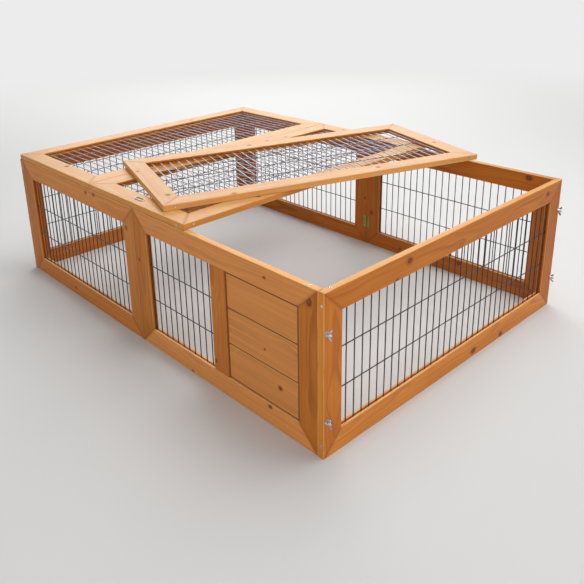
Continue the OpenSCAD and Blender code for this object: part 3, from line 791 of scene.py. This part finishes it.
def cornerScrews(move, width, height, rng):
    # eight screws: up and down through the rails' edges, sideways through the stiles' edges
    look = screwLook
    inset, sunk = look["in"], look["sunk"]
    moves = []
    for x in (inset, width - inset):
        for y, tip in ((sunk, 90), (height - sunk, -90)):
            spot = Matrix.Translation((x, y, look["mid"] - look["shift"]))
            moves.append(spot @ Matrix.Rotation(math.radians(tip), 4, "X"))
    for y in (inset, height - inset):
        for x, tip in ((sunk, -90), (width - sunk, 90)):
            spot = Matrix.Translation((x, y, look["mid"] + look["shift"]))
            moves.append(spot @ Matrix.Rotation(math.radians(tip), 4, "Y"))
    return [move @ m @ Matrix.Rotation(float(rng.uniform(0, crossTurn)), 4, "Z") for m in moves]


def makeScrews():
    rng = np.random.default_rng(3)
    sheet = screwSheet(screwLook)
    walls = [name for name in frames if not name.startswith("lid")]
    moves = [m for name in walls for m in cornerScrews(*frames[name], rng)]
    makePiece("wallScrews", [sheet], moves, materials["zinc"], "pen", ["wall_screws"])
    for name in ("lid_a", "lid_b", "lid_c"):
        moves = cornerScrews(*frames[name], rng)
        makePiece(name + "Screws", [sheet], moves, materials["zinc"], name,
                  [name + "_screws"])
    moves = []
    for x, y, z, out in hingeScrewPlaces():
        spot = Matrix.Translation((x, y, z)) @ Matrix.Rotation(math.radians(-90 * out), 4, "X")
        moves.append(spot @ Matrix.Rotation(float(rng.uniform(0, crossTurn)), 4, "Z"))
    sheet = screwSheet(hingeScrewLook)
    makePiece("hingeScrews", [sheet], moves, materials["brassHead"], "pen",
              ["hinge_screws"])
    print("screws made")


# a hinge's middle, above the ground or below the top, and its screws from that middle
hingeLook = {"high": 97 * mm, "half": 17 * mm, "across": 9.25 * mm, "leaf": 1.5 * mm}


def hingeScrewPlaces():
    # on the leaves' faces, inside both long walls: out is the way the heads look along y
    high, across, leaf, half = (hingeLook[name] for name in ("high", "across", "leaf", "half"))
    front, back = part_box("front_left_top_rail")[1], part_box("back_left_top_rail")[0]
    return [(x, y, z + dz, out) for y, out in ((front.y + leaf, 1), (back.y - leaf, -1))
            for z in (high, front.z - high) for dz in (-half, half) for x in (-across, across)]


boltLook = {"in": 105 * mm, "board": 19 * mm, "radius": 3.0 * mm, "pitch": 1.0 * mm, "thread": 0.32 * mm,
            "washer": 1.6 * mm, "out": 34.1 * mm, "wood": 2.5 * mm, "woodLength": 32 * mm, "point": 5 * mm,
            "shoulder": 0.2 * mm, "runOut": 1.2 * mm, "runDepth": 0.25 * mm, "rowsPerTurn": 8,
            "bevel": 0.4 * mm, "crown": 0.15 * mm, "crownRadii": (2.35 * mm, 1.9 * mm), "around": 28}


def boltMoves(end):
    # z out of the end panel from its inner face, y up: left low, left high, right low, right high
    move, width, height = frames[end]
    half = boltLook["board"] / 2
    heights = (boltLook["in"], height - boltLook["in"])
    return [move @ Matrix.Translation((x, y, 0)) for x in (half, width - half) for y in heights]


def makeBolts():
    # The thread is r = R - depth (1 - cos(2 pi z / pitch - a)) / 2, run out over the last turn.
    look = boltLook
    angle = np.linspace(0, 2 * np.pi, look["around"], endpoint=False)[None]
    start, end = look["board"], look["out"]
    z = np.arange(start, end - look["bevel"], look["pitch"] / look["rowsPerTurn"])[:, None]
    groove = 0.5 - 0.5 * np.cos(2 * np.pi * z / look["pitch"] - angle)
    run = np.clip((end - z) / look["runOut"], 0.0, 1.0)
    r = look["radius"] - look["thread"] * groove - look["runDepth"] * (1 - run)
    thread = np.stack([r * np.cos(angle), r * np.sin(angle), z + 0 * angle], -1)
    wood, radius = look["wood"], look["radius"]
    below = np.array([[0.0, -look["woodLength"]], [wood, look["point"] - look["woodLength"]], [wood, 0.0],
                      [radius, 0.0], [radius, start - look["shoulder"]]])
    outer, inner = look["crownRadii"]
    above = np.array([[outer, end - look["crown"]], [inner, end], [0.0, end]])
    points = np.concatenate([turned(below, look["around"]), thread, turned(above, look["around"])])
    moves = boltMoves("end_near") + boltMoves("end_far")
    makePiece("hangerBolts", [(points, False, True)], moves, materials["zinc"], "pen",
              ["hanger_bolts"])
    print("bolts made")


nutLook = {
    "foot": 6.25 * mm, "top": 4.75 * mm, "height": 8.5 * mm, "bore": 3.05 * mm, "rim": 1.4 * mm,
    "topEase": 0.5 * mm, "footEase": 0.3 * mm, "boreEase": 0.4 * mm, "around": 40,
    "flare": 0.9 * mm, "flarePart": 0.14,   # where the cone starts, above the rim and in from it
    "span": 29 * mm, "reach": 14 * mm, "rootRadius": 2.6 * mm, "rootRise": 0.6 * mm, "tipRadius": 3.2 * mm,
    "halfThickness": 1.2 * mm, "rootSwell": 0.5, "squareness": 0.7, "wingRows": 25, "wingColumns": 20,
    # turn of each nut from upright, in degrees
    "turns": {"near_front_low": 5, "near_front_high": -3, "near_back_low": 4, "near_back_high": -10,
              "far_back_low": -7, "far_back_high": 12, "far_front_low": -4, "far_front_high": 9},
}


def nutHub():
    # A cone turned round z, with a quarter circle at its shoulder, r = R - e + e cos a and
    # z = h - e + e sin a, and another at its foot, r = F - e + e sin a and z = e - e cos a.
    look = nutLook
    corner = np.linspace(0, np.pi / 2, 6)
    ease, footEase, boreEase = look["topEase"], look["footEase"], look["boreEase"]
    height, bore = look["height"], look["bore"]
    shoulder = np.stack([look["top"] - ease + ease * np.cos(corner), height - ease + ease * np.sin(corner)], 1)
    inner = look["foot"] - footEase
    foot = np.stack([inner + footEase * np.sin(corner), footEase - footEase * np.cos(corner)], 1)
    cone = [look["foot"] + (look["top"] - look["foot"]) * look["flarePart"], look["rim"] + look["flare"]]
    profile = np.concatenate([[[bore, 0.0]], foot, [[look["foot"], look["rim"]], cone], shoulder,
                              [[bore + boreEase, height], [bore, height - boreEase]]])
    return turned(profile, look["around"]), True, True


def nutWing(way):
    # A blade from root to tip: p = c(s) + w(s) cos(a) n + t(s) sin(a) y, with the centre c, the width
    # axis n and the thickness axis y. w and t are rounded off at both ends, by roots of
    # 1 - (1 - e)^2 and 1 - (1 - e)^4, where e is the distance to the nearer end over the radius.
    look = nutLook
    root = np.array([look["foot"] - look["rootRadius"], 0.0, look["rootRadius"] + look["rootRise"]])
    tip = np.array([look["span"] / 2 - look["tipRadius"], 0.0, look["reach"] - look["tipRadius"]])
    aim = (tip - root) / np.linalg.norm(tip - root)
    side = np.array([-aim[2], 0.0, aim[0]])
    start, end = root - aim * look["rootRadius"], tip + aim * look["tipRadius"]
    v = np.linspace(0, np.pi, look["wingRows"])[:, None, None]
    s = (1 - np.cos(v)) / 2
    angle = np.linspace(0, 2 * np.pi, look["wingColumns"], endpoint=False)[None, :, None]
    length = np.linalg.norm(end - start)
    reach = s * length
    rootR, tipR = look["rootRadius"], look["tipRadius"]
    radius = rootR + (tipR - rootR) * s
    nearEnd = np.minimum(reach / radius, (length - reach) / radius).clip(0, 1)
    width = radius * np.sqrt(1 - (1 - nearEnd) ** 2)
    thick = look["halfThickness"] * (1 + look["rootSwell"] * (1 - s) ** 2) * np.sqrt(1 - (1 - nearEnd) ** 4)
    pinch = np.sign(np.sin(angle)) * np.abs(np.sin(angle)) ** look["squareness"]
    points = start + aim * reach + side * width * np.cos(angle) + np.array([0.0, 1.0, 0.0]) * thick * pinch
    if way < 0:
        points = points * np.array([-1.0, -1.0, 1.0])
    return points, False, True


def makeNuts():
    sheets = [nutHub(), nutWing(1), nutWing(-1)]
    lift = boltLook["board"] + boltLook["washer"]
    for place, turn in nutLook["turns"].items():
        end, side, level = place.split("_")
        right = (side == "back") == (end == "near")
        spot = boltMoves("end_" + end)[2 * right + (level == "high")]
        spot = spot @ Matrix.Translation((0, 0, lift)) @ Matrix.Rotation(math.radians(90 + turn), 4, "Z")
        makePiece("nut_" + place, sheets, [spot], materials["zinc"], "nut_" + place,
                  ["wing_nut_" + place])
    print("wing nuts made")


pullLook = {
    "length": 42 * mm, "width": 17 * mm, "height": 2.6 * mm, "rim": 3.0 * mm, "floor": 0.45 * mm,
    "shoulder": 1.3 * mm, "around": 72, "rimRows": 13, "dishRows": 12, "dishStart": 0.05,
    "metal": {"colour": (0.62, 0.60, 0.44), "spot": (0.48, 0.45, 0.31), "metallic": 1.0, "roughness": 0.30},
    # painted shade in the pull's dish
    "dishShade": (0.070, 0.058, 0.036), "dishShadeSpot": (0.120, 0.098, 0.060),
    "dishShadeBand": (1.1 * mm, -0.4 * mm),  # from the rim's foot: none, full
}


def makePull():
    # A ring of offset q inside a stadium: x = a sign(cos t) + (R - q) cos t, y = (R - q) sin t.
    # z(q) is a half ellipse over the rim, then falls by 1 - (1 - u)^3 to the dished floor.
    look = pullLook
    radius = look["width"] / 2
    half = (look["length"] - look["width"]) / 2
    t = (np.arange(look["around"]) + 0.5)[None] * 2 * np.pi / look["around"]
    crest = np.linspace(0, np.pi, look["rimRows"])
    rim = np.stack([look["rim"] * (0.5 - 0.5 * np.cos(crest)),
                    look["shoulder"] + (look["height"] - look["shoulder"]) * np.sin(crest)], 1)
    u = np.linspace(look["dishStart"], 1, look["dishRows"])
    fall = look["shoulder"] + (look["floor"] - look["shoulder"]) * (1 - (1 - u) ** 3)
    dish = np.stack([look["rim"] + (radius - look["rim"]) * u, fall], 1)
    profile = np.concatenate([[[radius, 0.0], [0.0, 0.0]], rim, dish])
    q, z = profile[:, :1], profile[:, 1:]
    x = half * np.sign(np.cos(t)) + (radius - q) * np.cos(t)
    points = np.stack([x, (radius - q) * np.sin(t), z + 0 * t], -1)
    middle = footMiddle("lid_b_pull")

    def colour(place):
        # painted shade in the dish: the distance to the stadium's core line is below R - rim
        x, y, z = split(place)
        dx = calc("ABSOLUTE", minus(x, middle.x))
        dx = calc("MAXIMUM", minus(dx, half), 0.0)
        away = distance(dx, minus(y, middle.y))
        dishShade = eased(away, *(radius - look["rim"] + band for band in look["dishShadeBand"]))
        metal = look["metal"]
        return blended(dishShade, metal["colour"], look["dishShade"]), blended(dishShade, metal["spot"], look["dishShadeSpot"])

    made = metalMaterial("pullMetal", look["metal"], colour)
    makePiece("lidPull", [(points, False, True)], [Matrix.Translation(middle)], made, "lid_b",
              ["lid_b_pull"])
    print("pull made")


# stage

stageLook = {
    "floor": (0.64, 0.64, 0.635), "roughness": 0.85,
    "world": (0.97, 0.985, 1.0), "worldStrength": 0.34,
    "haze": 0.84,                       # the pale far field that the floor fades into
    "near": 1.9, "far": 5.5,            # where the fade starts and ends
    "reach": 60.0,
    "domeRadius": 54.0, "domeFoot": -0.3, "domeRows": 13, "domeColumns": 48,
}
lamps = {
    "overhead": {"place": (0.7, 0.8, 3.4), "aim": (0, 0, 0.3), "size": (3.0, 3.0), "power": 99,
                 "colour": (1, 1, 1)},
    "behind": {"place": (-3.5, 3.1, 2.5), "aim": (0, 0, 0.45), "size": (5.0, 3.0), "power": 170,
               "colour": (1, 0.99, 0.97)},
    "side": {"place": (3.3, -3.4, 2.0), "aim": (0.2, -0.2, 0.2), "size": (2.5, 2.0), "power": 54,
             "colour": (1, 0.97, 0.93)},
}


def hazeGlow(tree):
    glow = newNode(tree, "ShaderNodeEmission")
    feedAll(glow, {"Color": (1, 1, 1, 1), "Strength": stageLook["haze"]})
    return glow.outputs[0]


def hazeMaterial():
    made, tree = newMaterial("haze")
    feed(tree.nodes["Material Output"].inputs["Surface"], hazeGlow(tree))
    return made


def floorMaterial():
    # plain pale floor that fades into the haze with the distance from its middle
    made, tree = newMaterial("floor")
    shader = tree.nodes["Principled BSDF"]
    feedAll(shader, {"Base Color": (*stageLook["floor"], 1), "Roughness": stageLook["roughness"]})
    x, y, z = split(newNode(tree, "ShaderNodeTexCoord").outputs["Object"])
    mix = newNode(tree, "ShaderNodeMixShader")
    feed(mix.inputs[0], eased(distance(x, y), stageLook["near"], stageLook["far"]))
    feed(mix.inputs[1], shader.outputs[0])
    feed(mix.inputs[2], hazeGlow(tree))
    feed(tree.nodes["Material Output"].inputs["Surface"], mix.outputs[0])
    return made


def makeFloor():
    reach = stageLook["reach"]
    corners = [(-reach, -reach, 0), (reach, -reach, 0), (reach, reach, 0), (-reach, reach, 0)]
    sheet = bpy.data.meshes.new("floor")
    sheet.from_pydata(corners, [], [(0, 1, 2, 3)])
    floor = newObject("floor", sheet)
    # the backdrop is a dome that only the camera sees: R (cos u cos v, cos u sin v, sin u)
    rows, columns = stageLook["domeRows"], stageLook["domeColumns"]
    u = np.linspace(stageLook["domeFoot"], np.pi / 2, rows)[:, None]
    v = np.linspace(0, 2 * np.pi, columns)[None]
    dome = np.stack([np.cos(u) * np.cos(v), np.cos(u) * np.sin(v), np.sin(u) + 0 * v], -1)
    skin = bpy.data.meshes.new("backdrop")
    skin.from_pydata(stageLook["domeRadius"] * dome.reshape(-1, 3), [], quads(rows, columns, False, False))
    backdrop = newObject("backdrop", skin)
    backdrop.visible_diffuse = backdrop.visible_glossy = False
    backdrop.visible_shadow = backdrop.visible_transmission = False
    for piece, material in ((floor, floorMaterial()), (backdrop, hazeMaterial())):
        paint(piece, material)


def makeLight():
    world = bpy.data.worlds.new("studio")
    bpy.context.scene.world = world
    world.use_nodes = True
    back = world.node_tree.nodes["Background"]
    feedAll(back, {"Color": (*stageLook["world"], 1), "Strength": stageLook["worldStrength"]})
    for name, look in lamps.items():
        lamp = bpy.data.lights.new(name, "AREA")
        lamp.shape = "RECTANGLE"
        lamp.size, lamp.size_y = look["size"]
        lamp.energy = look["power"]
        lamp.color = look["colour"]
        made = newObject(name, lamp)
        made.location = look["place"]
        made.rotation_euler = (Vector(look["aim"]) - made.location).to_track_quat("-Z", "Y").to_euler()
        made.visible_camera = False


# where the photograph was taken from, in the pen's own metres about its middle
shot = {
    "place": (1.7300, -1.5694, 1.1634),
    "yaw": 2.412, "pitch": -0.342, "roll": -0.029,
    "focal": 695.3,                 # in pixels of the 584 frame
    "middle": (265.0, 200.0),       # the lens axis in the frame
    "frame": 584.0,
    "sensor": 36.0, "nearest": 0.05,
}


def makeCamera():
    yaw, pitch, roll = shot["yaw"], shot["pitch"], shot["roll"]
    forward = Vector((math.cos(pitch) * math.cos(yaw), math.cos(pitch) * math.sin(yaw), math.sin(pitch)))
    right = forward.cross(zAxis).normalized()
    up = right.cross(forward)
    rolledRight = right * math.cos(roll) + up * math.sin(roll)
    rolledUp = up * math.cos(roll) - right * math.sin(roll)
    lens = bpy.data.cameras.new("camera")
    lens.sensor_width = shot["sensor"]
    lens.lens = shot["focal"] / shot["frame"] * shot["sensor"]
    lens.shift_x = 0.5 - shot["middle"][0] / shot["frame"]
    lens.shift_y = shot["middle"][1] / shot["frame"] - 0.5
    lens.clip_start = shot["nearest"]
    made = newObject("camera", lens)
    wallLow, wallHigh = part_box("end_near_top_rail")
    penMiddle = Vector((0, (wallLow.y + wallHigh.y) / 2, 0))
    facing = Matrix((rolledRight, rolledUp, -forward)).transposed().to_4x4()
    made.matrix_world = Matrix.Translation(Vector(shot["place"]) + penMiddle) @ facing
    bpy.context.scene.camera = made


makeCamera()
dressTimber()
dressMetal()
print("metals dressed")
makeScrews()
makeBolts()
makeNuts()
makePull()
makeFloor()
makeLight()
bpy.context.scene.view_settings.view_transform = "Standard"
print("stage ready")
